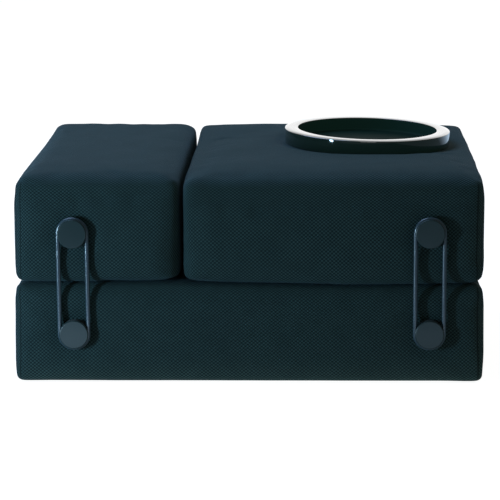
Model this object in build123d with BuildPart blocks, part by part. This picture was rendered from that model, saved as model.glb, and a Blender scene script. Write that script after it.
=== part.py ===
from build123d import *
from dataclasses import dataclass
from math import cos, pi, sin
import os

# A chair bed: three foam cushions that lie as a pouf and unfold sideways into a bed. Elastic
# bands round turning hubs hold the cushions together and are their hinges. All lengths are in
# millimetres. X runs along the width, the front faces -Y, Z is up, and the origin is the
# middle of the footprint on the floor.

# Whole object
width = 1030.0  # between the two fold lines, which run along the outer sides
depth = 770.0  # front face to rear face of the cushions
fold_height = 225.0  # floor to the fold lines
upper_height = 237.0  # fold lines to the top edges of the upper cushions
left_length = 370.0  # left fold line to the split between the upper cushions
split_gap = 3.5  # between the two upper cushions
rest_gap = 0.3  # between cushions where they lie on each other or meet

# Cushion form
crown = 6.0  # rise of an upper cushion's middle over its edges
end_crown_share = 0.25  # of the crown, at the front and rear faces
belly = 0.5  # swell of a resting face before it is cut flat
side_draw = 2.0  # how far a side is drawn in at half its height
waist_draw = 2.0  # how far the sides are drawn in at half the depth
top_round = 37.0  # corner of the outline along a free top edge
seam_round = 20.0  # the same along an edge at the fold plane
floor_round = 30.0  # the same along a floor edge
end_round = 18.0  # rounding of the front and rear outlines
end_steps = 2  # flat bands in that rounding
least_round = 1.0  # smallest corner of an outline

# Covers and foam
cover_wall = 5.0  # fabric quilted to its wadding
top_wadding = 12.0  # the same under a sitting surface
foam_fit = 0.2  # foam block to its cover
foam_end_cut = 10.0  # chamfer round the ends of a foam block
foam_corner_share = 0.5  # chamfer along a foam block, of the cover's corner there

# Hub places
left_inset = 133.0  # left hubs, from the left fold line
right_inset = 119.0  # right hubs, from the right fold line
hub_rise = 112.0  # hub centres over and under the fold plane

# Hubs, which turn on axles and carry the bands
flange_radius = 31.0
flange_edge = 2.0  # thickness of the flange at its rim
groove_radius = 26.2  # floor of the band groove
groove_slope = 1.0  # width of the flange's sloping flank
hub_length = 15.5
hub_gap = 0.5  # between a hub and its cover
bore_fit = 0.05  # running clearance round the axle

# Hub caps, which are the grooves' outer flanks
cap_radius = 33.0
cap_thickness = 4.5

# Axles with a countersunk head, each on a plate inside its cover
axle_radius = 6.0
axle_hole_fit = 0.3  # cover round the axle
head_radius = 11.0
head_depth = 5.0
head_gap = 0.3  # head under the cap, and head to countersink
plate_size = 60.0
plate_thickness = 4.0
plate_fit = 0.5  # foam round the plate

# Elastic bands
band_radius = 5.0  # of the cord
band_sides = 6
band_fit = 0.1  # cord to groove floor

# Tray
tray_side_inset = 246.0  # middle of the tray, from the right fold line
tray_rear_inset = 296.0  # the same, from the rear face
tray_sink = 0.5  # middle of the tray's underside, below the cushion's top edges
tray_roll = 1.5  # degrees, right side down
tray_pitch = 0.5  # degrees, front side down
tray_radius = 198.0
tray_height = 35.0
rim_width = 32.0
tray_wall = 4.0
tray_draft = 2.0  # how far the inner wall leans in at the floor
print_gap = 0.3  # under the tray in its print
print_fit = 1.0  # round the tray in its print

# Shared values
overrun = 5.0  # how far a cut runs past what it cuts
half_depth = depth / 2
fold_x = width / 2
side_x = fold_x - rest_gap / 2
split_x = left_length - fold_x
upper_low = fold_height + rest_gap / 2
upper_high = fold_height + upper_height
hub_top = hub_gap + hub_length
flank_top = hub_gap + flange_edge + groove_slope
band_height = (flank_top + hub_top) / 2
band_ring = groove_radius + band_fit + band_radius
head_top = hub_top - head_gap
head_slope = (head_radius - axle_radius) / head_depth
front, rear = -1, 1


@dataclass
class Cushion:
    """One cushion: its outer sides, the corners of its outline, its crown and its hub places."""

    left: float
    right: float
    low: float
    high: float
    low_round: float
    high_round: float
    crown: float
    hubs: list


def save(piece, name):
    """Label a finished piece and write it to its own file."""
    piece.part.label = name
    export_step(piece.part, f"parts/{name}.step")


def outline(cushion, y, rise, inset=0.0, draw=0.0):
    """An upright outline at y: swelling top and bottom, drawn-in sides, round corners."""
    left, right = cushion.left + inset + draw, cushion.right - inset - draw
    low, high = cushion.low + inset, cushion.high - inset
    middle, waist = (left + right) / 2, (low + high) / 2
    with BuildSketch(Plane.XZ.offset(-y)) as section:
        with BuildLine():
            ThreePointArc((left, low), (middle, low - belly), (right, low))
            ThreePointArc((right, low), (right - side_draw, waist), (right, high))
            ThreePointArc((right, high), (middle, high + rise), (left, high))
            ThreePointArc((left, high), (left + side_draw, waist), (left, low))
        make_face()
        corners = section.vertices().group_by(Axis.Y)
        fillet(corners[0], max(cushion.low_round - inset, least_round))
        fillet(corners[-1], max(cushion.high_round - inset, least_round))
    return section.sketch


def outer_form(cushion):
    """A cushion's outside: a ruled loft with rounded ends, cut flat on the faces that rest."""
    end_rise = max(cushion.crown * end_crown_share, belly)
    ends = []
    for step in range(end_steps + 1):
        turn = pi / 2 * step / end_steps
        ends.append((half_depth - end_round * (1 - cos(turn)), end_round * (1 - sin(turn))))
    with BuildPart() as form:
        sections = [outline(cushion, -y, end_rise, inset) for y, inset in ends]
        sections.append(outline(cushion, 0, max(cushion.crown, belly), draw=waist_draw))
        sections += [outline(cushion, y, end_rise, inset) for y, inset in reversed(ends)]
        loft(sections, ruled=True)
        split(bisect_by=Plane.XY.offset(cushion.low), keep=Keep.TOP)
        if not cushion.crown:
            split(bisect_by=Plane.XY.offset(cushion.high), keep=Keep.BOTTOM)
    return form.part


def foam_block(cushion, grow=0.0):
    """A foam block with chamfered edges, or with grow the space that it fills."""
    side_wall = cover_wall + side_draw + waist_draw - grow
    left, right = cushion.left + side_wall, cushion.right - side_wall
    low, high = cushion.low + cover_wall - grow, cushion.high - top_wadding + grow
    end = half_depth - cover_wall + grow
    with BuildSketch(Plane.XZ.offset(end)) as section:
        with BuildLine():
            Polyline((left, low), (right, low), (right, high), (left, high), close=True)
        make_face()
        corners = section.vertices().group_by(Axis.Y)
        chamfer(corners[0], cushion.low_round * foam_corner_share)
        chamfer(corners[-1], cushion.high_round * foam_corner_share)
    with BuildPart() as block:
        extrude(section.sketch, amount=-2 * end)
        faces = block.faces().sort_by(Axis.Y)
        chamfer(faces[0].edges() + faces[-1].edges(), foam_end_cut)
    return block.part


def hub_plane(x, z, side):
    """The cushion face at a hub: Z points out of the cushion, along the hub's axle."""
    return Plane(origin=(x, side * half_depth, z), x_dir=(-side, 0, 0), z_dir=(0, side, 0))


def turned(places, profile):
    """Revolve one closed profile of (radius, height) points about the axle of each hub."""
    for x, z, side in places:
        face = hub_plane(x, z, side)
        with BuildSketch(Plane(face.origin, x_dir=(0, 0, 1), z_dir=(-side, 0, 0))) as section:
            with BuildLine():
                Polyline(*profile, close=True)
            make_face()
        revolve(section.sketch, axis=Axis(face.origin, face.z_dir))


def cover(name, cushion, print_space=None):
    """A cushion cover: a closed shell with a hole for each axle and any print in its top."""
    form = outer_form(cushion)
    space = foam_block(cushion, foam_fit)
    with BuildPart() as shell:
        add(form)
        add(space, mode=Mode.SUBTRACT)
        if print_space:
            add(print_space, mode=Mode.SUBTRACT)
        for x, z, side in cushion.hubs:
            with BuildSketch(hub_plane(x, z, side).offset(overrun)):
                Circle(axle_radius + axle_hole_fit)
            extrude(amount=-2 * overrun - cover_wall, mode=Mode.SUBTRACT)
    save(shell, name)


def foam(name, cushion):
    """A foam core, pocketed for the plates of its axles."""
    block = foam_block(cushion)
    pocket = plate_size + 2 * plate_fit
    with BuildPart() as core:
        add(block)
        for x, z, side in cushion.hubs:
            with BuildSketch(hub_plane(x, z, side)):
                Rectangle(pocket, pocket)
            extrude(amount=-cover_wall - plate_thickness - plate_fit, mode=Mode.SUBTRACT)
    save(core, name)


def axles(name, hubs):
    """Countersunk axles, each on a square plate that lies against the inside of its cover."""
    with BuildPart() as pins:
        turned(
            hubs,
            [
                (0, -cover_wall),
                (axle_radius, -cover_wall),
                (axle_radius, head_top - head_depth),
                (head_radius, head_top),
                (0, head_top),
            ],
        )
        for x, z, side in hubs:
            with BuildSketch(hub_plane(x, z, side).offset(-cover_wall)):
                Rectangle(plate_size, plate_size)
            extrude(amount=-plate_thickness)
    save(pins, name)


def spools(name, hubs):
    """Hubs: a flange with a sloping flank, a groove floor and a countersunk bore."""
    bore = axle_radius + bore_fit
    mouth = head_radius + bore_fit + 2 * head_gap * head_slope
    with BuildPart() as wheels:
        turned(
            hubs,
            [
                (bore, hub_gap),
                (flange_radius, hub_gap),
                (flange_radius, hub_gap + flange_edge),
                (groove_radius, flank_top),
                (groove_radius, hub_top),
                (mouth, hub_top),
                (bore, head_top - head_depth - head_gap),
            ],
        )
    save(wheels, name)


def caps(name, hubs):
    """Round caps that close the hubs and hide the axle heads."""
    face = hub_top + cap_thickness
    with BuildPart() as lids:
        turned(
            hubs,
            [
                (0, hub_top),
                (cap_radius, hub_top),
                (cap_radius, face),
                (0, face),
            ],
        )
    save(lids, name)


def bands(name, x):
    """Endless elastic cords round the lower and upper hubs, one in front and one behind."""
    with BuildPart() as loops:
        for side in (front, rear):
            with BuildLine(hub_plane(x, fold_height, side).offset(band_height)) as path:
                Line((band_ring, -hub_rise), (band_ring, hub_rise))
                CenterArc((0, hub_rise), band_ring, 0, 180)
                Line((-band_ring, hub_rise), (-band_ring, -hub_rise))
                CenterArc((0, -hub_rise), band_ring, 180, 180)
            start = Plane(origin=path.line @ 0, z_dir=path.line % 0)
            with BuildSketch(start) as section:
                RegularPolygon(band_radius, band_sides)
            sweep(section.sketch, path=path.line)
    save(loops, name)


tray_middle = (fold_x - tray_side_inset, half_depth - tray_rear_inset, upper_high - tray_sink)
tray_plane = Plane(tray_middle).rotated((tray_pitch, tray_roll, 0))


def tray():
    """A round moulded tray: outer skirt, flat rim, inner wall and floor."""
    inner = tray_radius - rim_width
    foot = inner - tray_draft
    under = tray_height - tray_wall
    with BuildPart() as dish:
        upright = Plane(tray_plane.origin, x_dir=tray_plane.x_dir, z_dir=-tray_plane.y_dir)
        with BuildSketch(upright):
            with BuildLine():
                Polyline(
                    (0, 0),
                    (foot + tray_wall, 0),
                    (inner + tray_wall, under),
                    (tray_radius - tray_wall, under),
                    (tray_radius - tray_wall, 0),
                    (tray_radius, 0),
                    (tray_radius, tray_height),
                    (inner, tray_height),
                    (foot, tray_wall),
                    (0, tray_wall),
                    close=True,
                )
            make_face()
        revolve(axis=Axis(tray_plane.origin, tray_plane.z_dir))
    save(dish, "tray")


def tray_print():
    """The space that the tray presses into the right cushion's top."""
    with BuildPart() as space:
        with BuildSketch(tray_plane.offset(-print_gap)):
            Circle(tray_radius + print_fit)
        extrude(amount=tray_height)
    return space.part


os.makedirs("parts", exist_ok=True)

# Front and rear hubs on each of the four hub axes
left_x, right_x = left_inset - fold_x, fold_x - right_inset
hub_axes = {
    "left_lower": (left_x, fold_height - hub_rise),
    "left_upper": (left_x, fold_height + hub_rise),
    "right_lower": (right_x, fold_height - hub_rise),
    "right_upper": (right_x, fold_height + hub_rise),
}
hubs = {name: [(x, z, front), (x, z, rear)] for name, (x, z) in hub_axes.items()}

base = Cushion(
    left=-side_x,
    right=side_x,
    low=0.0,
    high=fold_height - rest_gap / 2,
    low_round=floor_round,
    high_round=seam_round,
    crown=0.0,
    hubs=hubs["left_lower"] + hubs["right_lower"],
)
left = Cushion(
    left=-side_x,
    right=split_x - split_gap / 2,
    low=upper_low,
    high=upper_high,
    low_round=seam_round,
    high_round=top_round,
    crown=crown,
    hubs=hubs["left_upper"],
)
right = Cushion(
    left=split_x + split_gap / 2,
    right=side_x,
    low=upper_low,
    high=upper_high,
    low_round=seam_round,
    high_round=top_round,
    crown=crown,
    hubs=hubs["right_upper"],
)

cover("base_cover", base)
cover("left_cover", left)
cover("right_cover", right, tray_print())

foam("base_foam", base)
foam("left_foam", left)
foam("right_foam", right)

for corner, places in hubs.items():
    axles(f"{corner}_axles", places)
    spools(f"{corner}_hubs", places)
    caps(f"{corner}_caps", places)

bands("left_bands", left_x)
bands("right_bands", right_x)
tray()
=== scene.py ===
from math import cos, pi, radians, sin

import bpy
import numpy as np
from mathutils import Matrix, Vector


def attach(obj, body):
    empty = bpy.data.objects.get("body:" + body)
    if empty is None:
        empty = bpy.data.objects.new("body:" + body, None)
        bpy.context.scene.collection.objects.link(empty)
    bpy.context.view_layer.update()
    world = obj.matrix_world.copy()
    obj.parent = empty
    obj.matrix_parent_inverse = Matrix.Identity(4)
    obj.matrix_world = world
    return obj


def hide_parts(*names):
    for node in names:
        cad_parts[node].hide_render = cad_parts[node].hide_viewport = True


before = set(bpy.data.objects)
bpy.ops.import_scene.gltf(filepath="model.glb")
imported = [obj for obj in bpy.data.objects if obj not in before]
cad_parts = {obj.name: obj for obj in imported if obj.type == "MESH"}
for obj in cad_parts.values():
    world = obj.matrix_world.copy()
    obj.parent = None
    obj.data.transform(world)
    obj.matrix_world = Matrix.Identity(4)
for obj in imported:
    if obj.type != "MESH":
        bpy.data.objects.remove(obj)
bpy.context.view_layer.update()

# Lengths are in metres. Each piece lies where the solid that it stands for lies.

# Cushions
FACE_Y = 0.385  # front and rear faces
BASE_TOP = 0.2245
UPPER_LOW = 0.2256  # undersides of the upper cushions
TOP_EDGE = 0.462  # their top edges, without the crown
CELL = 0.012  # of a cushion's grid
SEAM_ROUND = (0.024, 0.016, 0.017)  # rounding along x, y and z where a cushion lies on the base
TOP_ROUND = (0.032, 0.017, 0.021)  # the same at the top
ROUND_BLEND = 0.04  # from top and bottom to where one rounding starts to turn into the other
GAP_TIGHTER = 0.55  # how much tighter the rounding in the gap between two cushions is at the top
GAP_SHARE = 0.75  # its reach along y, as a share of that along x
FOOT_FLARE = 0.0018  # how much wider the base gets per half of its height, downwards

CROWN = 0.0060  # rise of an upper cushion's middle
REAR_RISE = 0.0050  # rise of its top towards the rear
DRAW = 0.0016  # how far a side is drawn in at half its height and half its length
SIDE_ROOM = 0.0008  # how far inside its place a side starts, because it swells
TOP_ROOM = 0.0004  # the same for a top
LONG_WAVES, SHORT_WAVES = (0.20, 0.0008), (0.07, 0.00035)  # unevenness: length and height
PUCKER_REACH = 0.085  # of the folds that fan out from a corner
PUCKER_DEPTH = (0.0006, 0.0020)  # least and most
PUCKER_FOLDS = 11

SEAM_DROP = 0.0008  # the seam over the base lies this much lower all along
SEAM_BOW = 0.0070  # and this much lower still under the wide cushion
SEAM_BOW_X, SEAM_BOW_REACH = 0.24, 0.28

PRESSURE = 4.0  # of the cloth simulation
CLOTH_FRAMES = 20
SWELL = 0.004  # the most that the cover may swell

# Hubs, caps and bands
HUB_X = {"left": -0.382, "right": 0.396}
HUB_Z = {"lower": 0.113, "upper": 0.337}
HUB_SEGMENTS = 96
HUB_PRESS = 0.0016  # how deep a hub presses into the fabric
BAND_RADIUS = 0.005
BAND_SLIP = 0.00015  # how much thinner the half that slides inside the other is
BAND_END = 0.0007  # how much slimmer a half ends, so that its end hides in the other
BAND_RING = 0.0313  # from the axle to the cord's middle
BAND_HEIGHT = 0.00975  # from the cushion's face to the cord's middle
BAND_RUNS = {"lower": 0.200, "upper": 0.160}  # length of a half's straight runs

# Tray
TRAY_RADIUS = 0.195
TRAY_TURN = Matrix.Rotation(radians(0.5), 4, "X") @ Matrix.Rotation(radians(1.5), 4, "Y")
TRAY_PLACE = Matrix.Translation((0.269, 0.093, 0.4615)) @ TRAY_TURN
TO_TRAY = TRAY_PLACE.inverted()
TRAY_SEGMENTS = 256
PRINT_DEPTH = 0.0012  # of the tray's print, under the tray
PRINT_EDGE, PRINT_FADE = 0.002, 0.045  # where the print starts and stops to fade, past the tray

# Fabric
KNIT_ACROSS, KNIT_UP = 0.0088, 0.0077  # pitch of the knit
KNIT_WOBBLE = 0.0022
SEWN_INSET = 0.010  # sewn line, from an upright edge of the cover
SEWN_FROM, SEWN_TO = 0.0008, 0.0030  # from the sewn line to where the knit starts, and is whole

WHITE = (1, 1, 1, 1)


# ---------- materials ----------

class Nodes:
    """A short way to build the node tree of a material or the world."""

    def __init__(self, name, world=False):
        self.owner = (bpy.data.worlds if world else bpy.data.materials).new(name)
        self.owner.use_nodes = True
        self.tree = self.owner.node_tree
        self.shader = self.tree.nodes["Background" if world else "Principled BSDF"]
        self.coords = self.tree.nodes.new("ShaderNodeTexCoord")

    def add(self, kind, inputs=(), **settings):
        node = self.tree.nodes.new(kind)
        for key, value in settings.items():
            setattr(node, key, value)
        for key, value in dict(inputs).items():
            self.put(node.inputs[key], value)
        return node

    def put(self, socket, value):
        if isinstance(value, bpy.types.NodeSocket):
            self.tree.links.new(value, socket)
        else:
            socket.default_value = value

    def math(self, kind, a, b=0.0, c=0.0):
        return self.add("ShaderNodeMath", {0: a, 1: b, 2: c}, operation=kind).outputs[0]

    def split(self, vector):
        return self.add("ShaderNodeSeparateXYZ", {0: vector}).outputs

    def noise(self, scale, detail=2.0, vector=None, roughness=0.5):
        vector = vector or self.coords.outputs["Object"]
        inputs = {"Vector": vector, "Scale": scale, "Detail": detail, "Roughness": roughness}
        return self.add("ShaderNodeTexNoise", inputs).outputs["Fac"]

    def span(self, value, low, high, start=0.0, end=1.0, kind="LINEAR"):
        """From low, where value is start, to high, where it is end."""
        inputs = {"Value": value, "From Min": start, "From Max": end, "To Min": low, "To Max": high}
        return self.add("ShaderNodeMapRange", inputs, interpolation_type=kind).outputs["Result"]

    def mix(self, factor, a, b):
        node = self.add("ShaderNodeMix", data_type="RGBA")
        self.put(node.inputs[0], factor)
        self.put(node.inputs[6], a)
        self.put(node.inputs[7], b)
        return node.outputs[2]

    def bump(self, height, distance, strength):
        inputs = {"Height": height, "Distance": distance, "Strength": strength}
        return self.add("ShaderNodeBump", inputs).outputs["Normal"]

    def set(self, **values):
        for key, value in values.items():
            name = key.replace("_", " ").title().replace("Ior", "IOR")
            self.put(self.shader.inputs[name], value)


def cover_fabric():
    """A dark mesh knit: eyelets between raised diagonal ribs, sewn along the upright edges."""
    n = Nodes("cover_fabric")
    uv = n.split(n.coords.outputs["UV"])
    u = n.math("MULTIPLY_ADD", n.noise(55.0), KNIT_WOBBLE, uv[0])
    v = n.math("MULTIPLY_ADD", n.noise(43.0), KNIT_WOBBLE, uv[1])
    across = n.math("MULTIPLY", u, 2 * pi / KNIT_ACROSS)
    up = n.math("MULTIPLY", v, 2 * pi / KNIT_UP)
    rising = n.math("COSINE", n.math("ADD", across, up))
    falling = n.math("COSINE", n.math("SUBTRACT", across, up))
    lattice = n.math("MULTIPLY_ADD", n.math("ADD", rising, falling), 0.25, 0.5)
    rib = n.span(lattice, 0.0, 1.0, 0.25, 0.8, "SMOOTHSTEP")
    patches = n.noise(24.0, 3.0)
    cloud = n.noise(3.0)
    thread = n.noise(1400.0, 1.0)
    dark = n.mix(patches, (0.0055, 0.0150, 0.0165, 1), (0.0070, 0.0185, 0.0200, 1))
    light = n.mix(cloud, (0.025, 0.056, 0.058, 1), (0.029, 0.062, 0.065, 1))
    knit = n.mix(n.math("MULTIPLY", rib, n.span(patches, 0.82, 1.0, 0.35, 0.65)), dark, light)
    edges = n.split(n.add("ShaderNodeUVMap", uv_map="edges").outputs[0])
    from_edge = n.math("MINIMUM", edges[0], edges[1])
    from_seam = n.math("ABSOLUTE", n.math("SUBTRACT", from_edge, SEWN_INSET))
    cloth = n.span(from_seam, 0.0, 1.0, SEWN_FROM, SEWN_TO, "SMOOTHSTEP")
    height = n.math("MULTIPLY_ADD", cloth, 0.6, n.math("MULTIPLY_ADD", thread, 0.15, rib))
    n.set(base_color=n.mix(cloth, (0.0055, 0.0145, 0.0150, 1), knit),
          roughness=n.span(thread, 0.80, 0.95), specular_ior_level=0.12,
          sheen_weight=0.10, sheen_roughness=0.40, sheen_tint=(0.35, 0.60, 0.78, 1),
          normal=n.bump(height, 0.0009, 0.8))
    return n.owner


def moulded(name, colour, light, roughness):
    """A satin moulding with a fine eroded grain and faint wear."""
    n = Nodes(name)
    cloud = n.noise(9.0, 3.0)
    fine = n.noise(900.0)
    n.set(base_color=n.mix(n.span(cloud, 0.0, 1.0, 0.35, 0.65), colour, light),
          roughness=n.span(fine, roughness - 0.05, roughness + 0.07), specular_ior_level=0.5,
          normal=n.bump(fine, 0.00004, 0.6))
    return n.owner


def band_rubber():
    """A smooth elastic cord with faint stretch marks along it."""
    n = Nodes("band_rubber")
    along = {"Vector": n.coords.outputs["Object"], "Scale": (1.0, 1.0, 0.12)}
    streaks = n.noise(260.0, vector=n.add("ShaderNodeMapping", along).outputs[0])
    n.set(base_color=n.mix(streaks, (0.015, 0.037, 0.053, 1), (0.023, 0.052, 0.075, 1)),
          roughness=n.span(streaks, 0.28, 0.36), specular_ior_level=0.6,
          coat_weight=0.9, coat_roughness=0.16, normal=n.bump(streaks, 0.00008, 0.5))
    return n.owner


def tray_gloss():
    """Polished dark green plastic with faint wipe marks in its gloss."""
    n = Nodes("tray_plastic")
    smear = n.noise(14.0, 4.0, roughness=0.6)
    ripple = n.noise(160.0, 1.0)
    n.set(base_color=n.mix(smear, (0.0055, 0.0155, 0.0105, 1), (0.0070, 0.0190, 0.0135, 1)),
          roughness=n.span(smear, 0.035, 0.085, 0.35, 0.7), specular_ior_level=0.5,
          coat_weight=1.0, coat_roughness=0.02, normal=n.bump(ripple, 0.00002, 0.3))
    return n.owner


def tray_satin_painted_shade():
    """The tray's inside, the same plastic with a fine satin grain, and painted shade that darkens
    its upward-facing bottom.
    """
    n = Nodes("tray_satin_painted_shade")
    smear = n.noise(14.0, 4.0, roughness=0.6)
    grain = n.noise(1200.0, 1.0)
    up = n.split(n.coords.outputs["Normal"])[2]
    wall = n.mix(smear, (0.0080, 0.0300, 0.0235, 1), (0.0095, 0.0340, 0.0270, 1))
    # Painted shade: where the surface faces up, the bottom gets a darker colour than the wall.
    painted_shade_bottom = n.mix(smear, (0.0046, 0.0150, 0.0108, 1), (0.0056, 0.0172, 0.0124, 1))
    n.set(base_color=n.mix(n.span(up, 0.0, 1.0, 0.2, 0.9), wall, painted_shade_bottom),
          roughness=n.span(grain, 0.52, 0.66), specular_ior_level=0.02,
          normal=n.bump(grain, 0.00004, 0.5))
    return n.owner


def axle_steel():
    """Zinc-plated steel with a fine grain."""
    n = Nodes("axle_steel")
    fine = n.noise(700.0)
    n.set(base_color=n.mix(fine, (0.50, 0.51, 0.52, 1), (0.60, 0.61, 0.63, 1)), metallic=1.0,
          roughness=n.span(fine, 0.3, 0.42))
    return n.owner


FABRIC = cover_fabric()
HUB = moulded("hub_plastic", (0.010, 0.018, 0.022, 1), (0.015, 0.025, 0.030, 1), 0.5)
CAP = moulded("cap_plastic", (0.0090, 0.0245, 0.0265, 1), (0.0120, 0.0305, 0.0330, 1), 0.32)
RUBBER = band_rubber()
GLOSS = tray_gloss()
SATIN = tray_satin_painted_shade()
STEEL = axle_steel()


# ---------- meshes ----------

def finish_mesh(name, points, faces, material):
    mesh = bpy.data.meshes.new(name)
    mesh.from_pydata([tuple(p) for p in points], [], faces)
    mesh.materials.append(material)
    mesh.polygons.foreach_set("use_smooth", [True] * len(mesh.polygons))
    mesh.update()
    piece = bpy.data.objects.new(name, mesh)
    bpy.context.scene.collection.objects.link(piece)
    return piece


def rounded(profile, radii, steps):
    """A profile with its corners rounded, each to its own radius."""
    out = []
    for i, (p, radius) in enumerate(zip(profile, radii)):
        p = np.array(p, float)
        if not radius:
            out.append(p)
            continue
        a = np.array(profile[i - 1], float) - p
        b = np.array(profile[(i + 1) % len(profile)], float) - p
        a, b = a / np.linalg.norm(a), b / np.linalg.norm(b)
        half = np.arccos(np.clip(a @ b, -1, 1)) / 2
        reach = radius / np.tan(half)
        centre = p + (a + b) / np.linalg.norm(a + b) * radius / np.sin(half)
        start, end = p + a * reach - centre, p + b * reach - centre
        for t in np.linspace(0, 1, steps + 1):
            spoke = start * (1 - t) + end * t
            out.append(centre + spoke / np.linalg.norm(spoke) * radius)
    return out


def lathe(profile, place, segments):
    """Points and faces of a profile of (radius, height) turned round the local Z of place."""
    points, faces, rings = [], [], []
    for radius, height in profile:
        if radius < 1e-7:
            rings.append([len(points)])
            points.append(place @ Vector((0, 0, height)))
            continue
        rings.append(list(range(len(points), len(points) + segments)))
        for i in range(segments):
            turn = 2 * pi * i / segments
            points.append(place @ Vector((radius * cos(turn), radius * sin(turn), height)))
    for low, high in zip(rings, rings[1:] + rings[:1]):
        if len(low) == len(high) == 1:
            continue
        for i in range(segments):
            j = (i + 1) % segments
            ring = [low[i % len(low)], low[j % len(low)], high[j % len(high)], high[i % len(high)]]
            faces.append(list(dict.fromkeys(ring)))
    return points, faces


def merged(parts):
    points, faces = [], []
    for some_points, some_faces in parts:
        faces += [[i + len(points) for i in face] for face in some_faces]
        points += some_points
    return points, faces


def hub_place(side, level, facing):
    """The cushion's face at a hub: local Z points out along the axle."""
    turn = Matrix.Rotation(radians(90 * -facing), 4, "X")
    place = Matrix.Translation((HUB_X[side], facing * FACE_Y, HUB_Z[level]))
    return place @ turn


def smoothstep(x, low, high):
    t = np.clip((x - low) / (high - low), 0, 1)
    return t * t * (3 - 2 * t)


def waves(points, seed, length, height):
    """A smooth mix of sine waves, for gentle and repeatable unevenness."""
    rng = np.random.default_rng(seed)
    total = np.zeros(len(points))
    for _ in range(7):
        way = rng.normal(size=3)
        way *= 2 * pi / length / np.linalg.norm(way) * rng.uniform(0.6, 1.5)
        total += np.sin(points @ way + rng.uniform(0, 2 * pi))
    return total / 3.5 * height


# ---------- cushions ----------

class Cushion:
    """A padded block on a grid: the grid's flat place gives the fabric's coordinates."""

    def __init__(self, low, high, low_round, high_round, gap_side=0, gap_round=0.0):
        self.low, self.high = np.array(low), np.array(high)
        self.gap_side, self.gap_round = gap_side, gap_round
        size = self.high - self.low
        counts = np.maximum(np.round(size / CELL).astype(int), 2)
        index, cells = {}, []
        self.faces, self.uv, self.edges = [], [], []
        for axis in range(3):
            a, b = [k for k in range(3) if k != axis]
            for end in (0, counts[axis]):
                for i in range(counts[a]):
                    for j in range(counts[b]):
                        corners = []
                        for di, dj in ((0, 0), (1, 0), (1, 1), (0, 1)):
                            key = [0, 0, 0]
                            key[axis], key[a], key[b] = end, i + di, j + dj
                            key = tuple(key)
                            if key not in index:
                                index[key] = len(cells)
                                cells.append(key)
                            corners.append(key)
                        outward = (end > 0) == (axis != 1)
                        corners = corners if outward else corners[::-1]
                        self.faces.append([index[c] for c in corners])
                        self.uv += [self.flat(c, counts, axis, end) for c in corners]
                        self.edges += [self.from_edges(c, counts, axis, end) for c in corners]
        flat = self.low + np.array(cells) / counts * size
        self.span = (flat - self.low) / size * 2 - 1
        self.points, self.outward = self.round_off(flat, np.array(low_round), np.array(high_round))

    def flat(self, key, counts, axis, end):
        """The fabric's coordinates, running on from the front over the top and sides."""
        x, y, z = self.low + np.array(key) / counts * (self.high - self.low)
        back = y - self.low[1]
        if axis == 2:
            return (x, self.high[2] + back) if end else (x, self.low[2] - back)
        if axis == 0:
            return (self.high[0] + back, z) if end else (self.low[0] - back, z)
        return (x, z)

    def from_edges(self, key, counts, axis, end):
        """Distances across an upright side from its two upright edges, where the cover is sewn."""
        in_gap = axis == 0 and self.gap_side * (1 if end else -1) > 0
        if axis == 2 or in_gap:
            return (1.0, 1.0)
        along = 1 - axis
        size = self.high[along] - self.low[along]
        part = key[along] / counts[along]
        near, far = part * size, (1 - part) * size
        if axis == 1 and self.gap_side:
            return (near, 1.0) if self.gap_side > 0 else (1.0, far)
        return (near, far)

    def round_off(self, flat, low_round, high_round):
        """The grid's points on the rounded block, and which way each faces."""
        low_z, high_z = self.low[2] + ROUND_BLEND, self.high[2] - ROUND_BLEND
        part = smoothstep(flat[:, 2], low_z, high_z)[:, None]
        reach = low_round * (1 - part) + high_round * part
        centre, half = (self.low + self.high) / 2, (self.high - self.low) / 2
        local = flat - centre
        in_gap = local[:, 0] * self.gap_side > 0
        wide = self.gap_round * (1 - GAP_TIGHTER * part[in_gap, 0])
        reach[in_gap, 0] = np.maximum(reach[in_gap, 0], wide)
        reach[in_gap, 1] = np.maximum(reach[in_gap, 1], GAP_SHARE * wide)
        core = np.clip(local, -(half - reach), half - reach)
        way = (local - core) / reach
        length = np.linalg.norm(way, axis=1, keepdims=True)
        way /= np.maximum(length, 1e-9)
        return centre + core + way * reach, way


def shape(cushion, seed, crown=0.0, sag=0.0, bulge=-DRAW):
    """Crown the top, lower its front edge by sag and raise its rear. Draw the sides in, or let
    the outer one bulge, draw the front and rear in at their edges, and make all a bit uneven."""
    p, s = cushion.points, cushion.span
    x, y, z = s.T
    free_top = smoothstep(z, 0.2, 1.0)
    if crown:
        p[:, 2] += crown * (1 - x ** 2) * (0.3 + 0.7 * (1 - y ** 2)) * free_top
        p[:, 2] -= sag * np.clip((-y - 0.65) / 0.35, 0, 1) ** 2 * free_top
        p[:, 2] += REAR_RISE * np.clip((y - 0.3) / 0.7, 0, 1) * free_top
    side = smoothstep(np.abs(x), 0.75, 1.0) * np.sign(x)
    p[:, 0] -= side * DRAW * (1 - z ** 2)
    p[:, 0] += side * np.where(x * cushion.gap_side > 0, -DRAW, bulge) * (1 - y ** 2)
    end = smoothstep(np.abs(y), 0.8, 1.0) * np.sign(y)
    p[:, 1] -= end * DRAW * (1 - (1 - x ** 4) * (1 - z ** 4))
    uneven = waves(p, seed, *LONG_WAVES) + waves(p, seed + 1, *SHORT_WAVES)
    p[:, 1] -= end * (SIDE_ROOM + uneven)
    p[:, 0] -= side * (SIDE_ROOM + uneven)
    if crown:
        p[:, 2] += (uneven - TOP_ROOM) * free_top
    rng = np.random.default_rng(seed)
    for corner in np.ndindex(2, 2, 2):
        depth, turn = rng.uniform(*PUCKER_DEPTH), rng.uniform(0, 6)
        pucker(cushion, np.where(corner, cushion.high, cushion.low), depth, turn)


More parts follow.
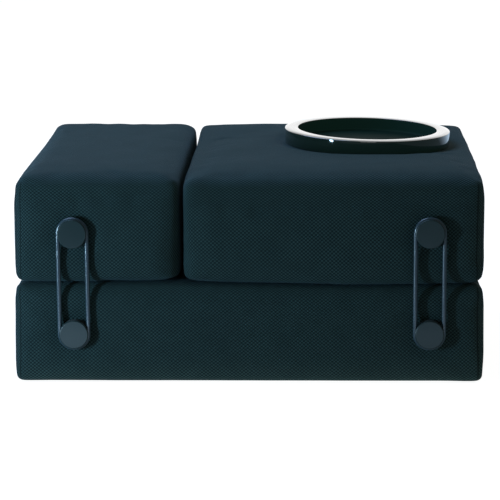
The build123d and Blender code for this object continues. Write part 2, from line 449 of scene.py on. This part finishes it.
def pucker(cushion, corner, depth, turn):
    """Short folds that fan out from a corner, where the cover's seams meet."""
    away = cushion.points - corner
    r = np.linalg.norm(away, axis=1)
    fan = np.arctan2(np.abs(away[:, 2]), np.abs(away[:, 0]) + np.abs(away[:, 1]))
    fade_in = smoothstep(r, 0.0, 0.3 * PUCKER_REACH)
    fade_out = 1 - smoothstep(r, 0.35 * PUCKER_REACH, PUCKER_REACH)
    folds = np.sin(fan * PUCKER_FOLDS + turn) * fade_in * fade_out
    height = depth * (folds - 0.4 * (1 - smoothstep(r, 0, PUCKER_REACH)))
    cushion.points += cushion.outward * height[:, None]
    cushion.points[:, 2] = np.maximum(cushion.points[:, 2], cushion.low[2])


def hub_places(level, sides):
    return [(HUB_X[side], HUB_Z[level], facing) for side in sides for facing in (-1, 1)]


def near_hubs(cushion, places, reach, fade):
    """How near each point is to a hub on its face, 1 up to reach and 0 from fade, and the face."""
    p = cushion.points
    for x, z, facing in places:
        near = 1 - smoothstep(np.hypot(p[:, 0] - x, p[:, 2] - z), reach, fade)
        yield near * smoothstep(cushion.span[:, 1] * facing, 0.9, 1.0), facing


def press_round(cushion, places):
    """Press the fabric in where a hub's flange lies on it."""
    for near, facing in near_hubs(cushion, places, 0.033, 0.075):
        cushion.points[:, 1] -= facing * HUB_PRESS * near


def lean_seam(cushion, end):
    """Lower the resting face with the seam, more under the middle of the wide cushion."""
    part = smoothstep(cushion.span[:, 2] * end, -0.2, 1.0)
    bow = np.exp(-((cushion.points[:, 0] - SEAM_BOW_X) / SEAM_BOW_REACH) ** 2)
    cushion.points[:, 2] += (-SEAM_DROP - SEAM_BOW * bow) * part


def under_tray(cushion):
    """Each point's place from the tray's middle, as radius and height, in the tray's own tilt."""
    turn = np.array(TO_TRAY)
    local = cushion.points @ turn[:3, :3].T + turn[:3, 3]
    return np.hypot(local[:, 0], local[:, 1]), local[:, 2]


def press_tray(cushion):
    """Press the tray's print into the cushion's top."""
    r, height = under_tray(cushion)
    part = smoothstep(r, TRAY_RADIUS + PRINT_EDGE, TRAY_RADIUS + PRINT_FADE)
    pressed = (cushion.span[:, 2] > 0.8) & (height > -PRINT_DEPTH)
    cushion.points[:, 2] += np.where(pressed, (-PRINT_DEPTH - height) * (1 - part), 0)


def free_cloth(cushion, places, resting, gap_side=0):
    """Where the cover may swell: not where it rests, not under a hub, and little in the gap."""
    free = np.ones(len(cushion.points))
    for end in resting:
        free *= 1 - smoothstep(cushion.span[:, 2] * end, 0.90, 0.98)
    for near, _ in near_hubs(cushion, places, 0.034, 0.060):
        free *= 1 - near
    if gap_side:
        free *= 1 - 0.8 * smoothstep(cushion.span[:, 0] * gap_side, 0.80, 0.95)
    return free


def settle(piece, cushion, free):
    """Let the cover swell as cloth round its foam, where it is free, and keep the result."""
    scene = bpy.context.scene
    held = piece.vertex_groups.new(name="held")
    held.add([int(i) for i in np.flatnonzero(free < 0.05)], 1.0, "REPLACE")
    cloth = piece.modifiers.new("cloth", "CLOTH")
    cloth.settings.vertex_group_mass = "held"
    cloth.settings.quality = 5
    cloth.settings.use_pressure = True
    cloth.settings.uniform_pressure_force = PRESSURE
    cloth.settings.effector_weights.gravity = 0.0
    cloth.point_cache.frame_start, cloth.point_cache.frame_end = 1, CLOTH_FRAMES
    for frame_number in range(1, CLOTH_FRAMES + 1):
        scene.frame_set(frame_number)
    swollen = piece.evaluated_get(bpy.context.evaluated_depsgraph_get()).data
    points = np.empty(len(swollen.vertices) * 3)
    swollen.vertices.foreach_get("co", points)
    moved = points.reshape(-1, 3) - cushion.points
    length = np.maximum(np.linalg.norm(moved, axis=1, keepdims=True), 1e-9)
    moved *= SWELL * np.tanh(length / SWELL) / length * free[:, None]
    cushion.points += moved
    cushion.points[:, 2] = np.maximum(cushion.points[:, 2], 0.0)
    piece.modifiers.remove(cloth)
    piece.vertex_groups.remove(held)
    scene.frame_set(1)
    piece.data.vertices.foreach_set("co", cushion.points.ravel())
    piece.data.update()


def build(name, cushion, body, nodes, free):
    piece = finish_mesh(name, cushion.points, cushion.faces, FABRIC)
    for layer_name, values in (("fabric", cushion.uv), ("edges", cushion.edges)):
        layer = piece.data.uv_layers.new(name=layer_name)
        layer.data.foreach_set("uv", np.array(values, dtype=np.float32).ravel())
    settle(piece, cushion, free)
    smooth = piece.modifiers.new("smooth", "SUBSURF")
    smooth.levels = smooth.render_levels = 1
    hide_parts(*nodes)
    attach(piece, body)


base_hubs = hub_places("lower", ("left", "right"))
base = Cushion((-0.5158, -FACE_Y, 0.0), (0.5158, FACE_Y, BASE_TOP),
               (0.015, 0.017, 0.016), (0.024, 0.024, 0.026))
base.points[:, 0] *= 1 + FOOT_FLARE * (1 - base.span[:, 2])
shape(base, 3)
press_round(base, base_hubs)
lean_seam(base, 1)

left_hubs = hub_places("upper", ("left",))
left = Cushion((-0.5122, -FACE_Y, UPPER_LOW), (-0.1472, FACE_Y, TOP_EDGE),
               SEAM_ROUND, TOP_ROUND, 1, 0.050)
shape(left, 11, CROWN, sag=0.0080, bulge=0.0)
press_round(left, left_hubs)
lean_seam(left, -1)

right_hubs = hub_places("upper", ("right",))
right = Cushion((-0.1428, -FACE_Y, UPPER_LOW), (0.5138, FACE_Y, TOP_EDGE),
                SEAM_ROUND, (0.022, 0.017, 0.021), -1, 0.034)
shape(right, 23, CROWN, sag=0.0120, bulge=0.0028)
press_round(right, right_hubs)
lean_seam(right, -1)
press_tray(right)

on_print = 1 - smoothstep(under_tray(right)[0], TRAY_RADIUS + PRINT_EDGE, TRAY_RADIUS + 0.030)
right_free = free_cloth(right, right_hubs, (-1,), -1)
right_free *= 1 - on_print * smoothstep(right.span[:, 2], 0.7, 0.9)

build("base_cushion", base, "base", ("base_cover", "base_foam"),
      free_cloth(base, base_hubs, (-1, 1)))
build("left_cushion_pad", left, "left_cushion", ("left_cover", "left_foam"),
      free_cloth(left, left_hubs, (-1,), 1))
build("right_cushion_pad", right, "right_cushion", ("right_cover", "right_foam"), right_free)


# ---------- hubs, caps and bands ----------

# Profiles of (radius, height over the cushion's face)
HUB_PROFILE = rounded(
    [(0.0, 0.0005), (0.031, 0.0005), (0.031, 0.0025), (0.0262, 0.0035), (0.0262, 0.016),
     (0.0, 0.016)],
    (0, 0.0004, 0.0008, 0.0004, 0.0002, 0), 5)
CAP_PROFILE = rounded(
    [(0.0, 0.016), (0.0320, 0.016), (0.0320, 0.0188), (0.0300, 0.0205), (0.0, 0.0203)],
    (0, 0.0006, 0.0008, 0.0012, 0), 6)


def turned_pair(name, side, level, profile, material, node):
    """One turned piece in front and one behind, on one axis."""
    places = [hub_place(side, level, facing) for facing in (-1, 1)]
    points, faces = merged([lathe(profile, place, HUB_SEGMENTS) for place in places])
    piece = finish_mesh(name, points, faces, material)
    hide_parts(node)
    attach(piece, f"{side}_{level}_hub_pair")


def tube(path, radius, sides=20):
    """Points and faces of a round tube along a path in one plane, whose normal is local Z."""
    points, faces = [], []
    path = [np.array(p, float) for p in path]
    last = len(path) - 1
    for i, p in enumerate(path):
        along = path[min(i + 1, last)] - path[max(i - 1, 0)]
        along /= np.linalg.norm(along)
        across = np.array((-along[1], along[0], 0))
        slim = radius - (BAND_END if i in (0, last) else 0.0)
        for k in range(sides):
            turn = 2 * pi * k / sides
            points.append(p + across * slim * cos(turn) + np.array((0, 0, slim * sin(turn))))
    for i in range(last):
        for k in range(sides):
            m = (k + 1) % sides
            faces.append([i * sides + k, i * sides + m, (i + 1) * sides + m, (i + 1) * sides + k])
    faces.append(list(range(sides))[::-1])
    faces.append([last * sides + k for k in range(sides)])
    return points, faces


def band_half(side, level, radius):
    """Half of each band: round its hub and along both runs, one inside the other where they
    meet. They slide apart and stay one inside the other while the cushion folds out."""
    way = 1 if level == "lower" else -1
    parts = []
    for facing in (-1, 1):
        place = hub_place(side, level, facing)
        up = way * -facing
        run = np.linspace(BAND_RUNS[level], 0.004, 12)
        path = [(BAND_RING, up * s, BAND_HEIGHT) for s in run]
        for turn in np.linspace(0, pi, 33):
            path.append((BAND_RING * cos(turn), -up * BAND_RING * sin(turn), BAND_HEIGHT))
        run = np.linspace(0.004, BAND_RUNS[level], 12)
        path += [(-BAND_RING, up * s, BAND_HEIGHT) for s in run]
        points, faces = tube(path, radius)
        parts.append(([place @ Vector(p) for p in points], faces))
    points, faces = merged(parts)
    piece = finish_mesh(f"{side}_{level}_band_half", points, faces, RUBBER)
    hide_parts(f"{side}_bands")
    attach(piece, f"{side}_{level}_hub_pair")


for side in ("left", "right"):
    for level in ("lower", "upper"):
        hub = f"{side}_{level}"
        turned_pair(f"{hub}_wheels", side, level, HUB_PROFILE, HUB, f"{hub}_hubs")
        turned_pair(f"{hub}_lids", side, level, CAP_PROFILE, CAP, f"{hub}_caps")
    band_half(side, "lower", BAND_RADIUS)
    band_half(side, "upper", BAND_RADIUS - BAND_SLIP)


# ---------- tray ----------

# (radius, height over the tray's foot)
TRAY_PROFILE = rounded(
    [(0.0, 0.0), (0.166, 0.0), (0.168, 0.030), (0.191, 0.030), (0.191, 0.0), (TRAY_RADIUS, 0.0),
     (TRAY_RADIUS, 0.0334), (0.187, 0.0352), (0.173, 0.0352), (0.1640, 0.0345), (0.1638, 0.004),
     (0.0, 0.004)],
    (0, 0.0015, 0.001, 0.001, 0.0008, 0.0008, 0.0016, 0.04, 0.05, 0.0016, 0.006, 0), 6)
points, faces = lathe(TRAY_PROFILE, TRAY_PLACE, TRAY_SEGMENTS)
dish = finish_mesh("round_tray", points, faces, GLOSS)
dish.data.materials.append(SATIN)
# The inside faces get the satin material, whose bottom carries painted shade.
for face in dish.data.polygons:
    spot = TO_TRAY @ face.center
    inside = spot.xy.length < 0.1645 and 0.003 < spot.z < 0.0340
    if inside:
        face.material_index = 1
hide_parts("tray")
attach(dish, "tray")

for name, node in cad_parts.items():
    if name.endswith("_axles"):
        for place in node.material_slots:
            place.material = STEEL


# ---------- floor, light and camera ----------

# Pools of painted light on the floor that only gloss mirrors, painted highlights for the caps and
# bands: middle, level and reach
POOLS = (((-0.46, -0.86, 0.0), 2.5, 0.42), ((0.42, -0.86, 0.0), 1.15, 0.42),
         ((0.47, -2.0, 0.0), 0.62, 0.90))
FLOOR_SIZE, FLOOR_Z = 30, -0.0005
AMBIENT_SIDES = 0.47  # ambient light from the left and right
AMBIENT_WAYS = (0.12, 0.10, 0.22)  # and more of it from the right, the rear and above


def background_rays(n):
    """Two factors: camera and transmission rays, and glossy rays."""
    path = n.add("ShaderNodeLightPath")
    clear = n.math("MAXIMUM", path.outputs["Is Camera Ray"], path.outputs["Is Transmission Ray"])
    return clear, path.outputs["Is Glossy Ray"]


def by_ray(n, clear, glossy, seen, mirrored, soft):
    """One level for what the camera sees, one for what is mirrored, and one for diffuse light."""
    level = n.add("ShaderNodeMix", {0: glossy, 2: soft, 3: mirrored}).outputs[0]
    return n.add("ShaderNodeMix", {0: clear, 2: level, 3: seen}).outputs[0]


def studio_floor():
    """White to the camera, with the object's shadow. What gloss mirrors is brighter behind the
    object and in the pools, and the floor gives more diffuse light close to the object's foot."""
    n = Nodes("floor")
    clear, glossy = background_rays(n)
    x, y, _ = n.split(n.coords.outputs["Object"])
    mirrored = n.span(y, 0.12, 0.92, 1.4, 2.8)
    for middle, level, reach in POOLS:
        away = n.add("ShaderNodeVectorMath", {0: n.coords.outputs["Object"], 1: middle},
                     operation="DISTANCE").outputs["Value"]
        pool = n.span(away, level, 0.0, 0.15 * reach, reach, "SMOOTHSTEP")
        mirrored = n.math("ADD", mirrored, pool)
    past_side = n.math("SUBTRACT", n.math("ABSOLUTE", x), 0.515)
    past_face = n.math("SUBTRACT", n.math("ABSOLUTE", y), FACE_Y)
    foot = n.span(n.math("MAXIMUM", past_side, past_face), 0.80, 0.16, 0.0, 0.09)
    tint = n.mix(glossy, (1, 1, 0.88, 1), (0.58, 0.78, 1.0, 1))
    n.set(base_color=n.mix(glossy, (0.3, 0.3, 0.3, 1), (0.03, 0.03, 0.03, 1)),
          roughness=1.0, specular_ior_level=0.0, emission_color=n.mix(clear, tint, WHITE),
          emission_strength=by_ray(n, clear, glossy, 0.95, mirrored, foot))
    corners = [(x * FLOOR_SIZE, y * FLOOR_SIZE, FLOOR_Z)
               for x, y in ((-1, -1), (1, -1), (1, 1), (-1, 1))]
    return finish_mesh("floor", corners, [[0, 1, 2, 3]], n.owner)


def studio_world():
    """White all round for the camera. What gloss mirrors is white behind the object and fades to
    the front, where the studio is dark. The rest is plain ambient light."""
    n = Nodes("studio", world=True)
    clear, glossy = background_rays(n)
    ways = n.split(n.coords.outputs["Generated"])
    behind = n.span(ways[1], 0.08, 1.0, 0.40, 0.80)
    ambient = n.math("MULTIPLY", n.math("MULTIPLY", ways[0], ways[0]), AMBIENT_SIDES)
    for way, share in zip(ways, AMBIENT_WAYS):
        ambient = n.math("MULTIPLY_ADD", way, share, ambient)
    ambient = n.math("MAXIMUM", ambient, 0.02)
    n.set(color=n.mix(n.math("MAXIMUM", clear, glossy), (0.92, 0.97, 0.84, 1), WHITE),
          strength=by_ray(n, clear, glossy, 1.0, behind, ambient))
    return n.owner


def area_light(name, place, aim, size, power, colour=(1, 1, 1), only=None):
    """A rectangular lamp that the camera doesn't see, for all or for one piece only."""
    lamp = bpy.data.lights.new(name, "AREA")
    lamp.shape = "RECTANGLE"
    lamp.size, lamp.size_y = size
    lamp.energy = power
    lamp.color = colour
    holder = bpy.data.objects.new(name, lamp)
    holder.location = place
    holder.rotation_euler = (Vector(aim) - Vector(place)).to_track_quat("-Z", "Y").to_euler()
    holder.visible_camera = False
    bpy.context.scene.collection.objects.link(holder)
    if only:
        group = bpy.data.collections.new(f"{name}_only")
        group.objects.link(only)
        holder.light_linking.receiver_collection = group


def aim_camera(place, pitch, yaw, roll, lens):
    """The photograph's view: angles in radians, pitch down, yaw to the right, lens for 36 mm."""
    camera = bpy.data.cameras.new("camera")
    camera.sensor_fit = "HORIZONTAL"
    camera.sensor_width = 36.0
    camera.lens = lens
    holder = bpy.data.objects.new("camera", camera)
    bpy.context.scene.collection.objects.link(holder)
    bpy.context.scene.camera = holder
    forward = Vector((sin(yaw) * cos(pitch), cos(yaw) * cos(pitch), -sin(pitch)))
    across = Vector((cos(yaw), -sin(yaw), 0))
    upward = across.cross(forward)
    right_way = across * cos(roll) + upward * sin(roll)
    up_way = upward * cos(roll) - across * sin(roll)
    turn = Matrix((right_way, up_way, -forward)).transposed().to_4x4()
    holder.matrix_world = Matrix.Translation(place) @ turn


studio_floor()
bpy.context.scene.world = studio_world()
area_light("key", (-1.2, 0.6, 3.0), (0, 0, 0.3), (2.2, 2.2), 91, (0.425, 0.62, 1.0))
area_light("fill", (0.3, -3.0, 1.7), (0.27, 0.1, 0.5), (1.2, 1.2), 26, only=dish)
area_light("strip", (-1.64, -1.52, 0.28), (-0.2, -0.25, 0.28), (0.20, 0.56), 26.5,
           (0.50, 0.78, 1.0))
area_light("rear", (0.6, 3.2, 1.05), (0.25, 0.1, 0.5), (4.0, 1.1), 4, only=dish)
aim_camera((0.14837, -5.00265, 1.24002), 0.20100, -0.03107, -0.00610, 155.955)
bpy.context.scene.view_settings.view_transform = "Standard"

bpy.context.view_layer.update()
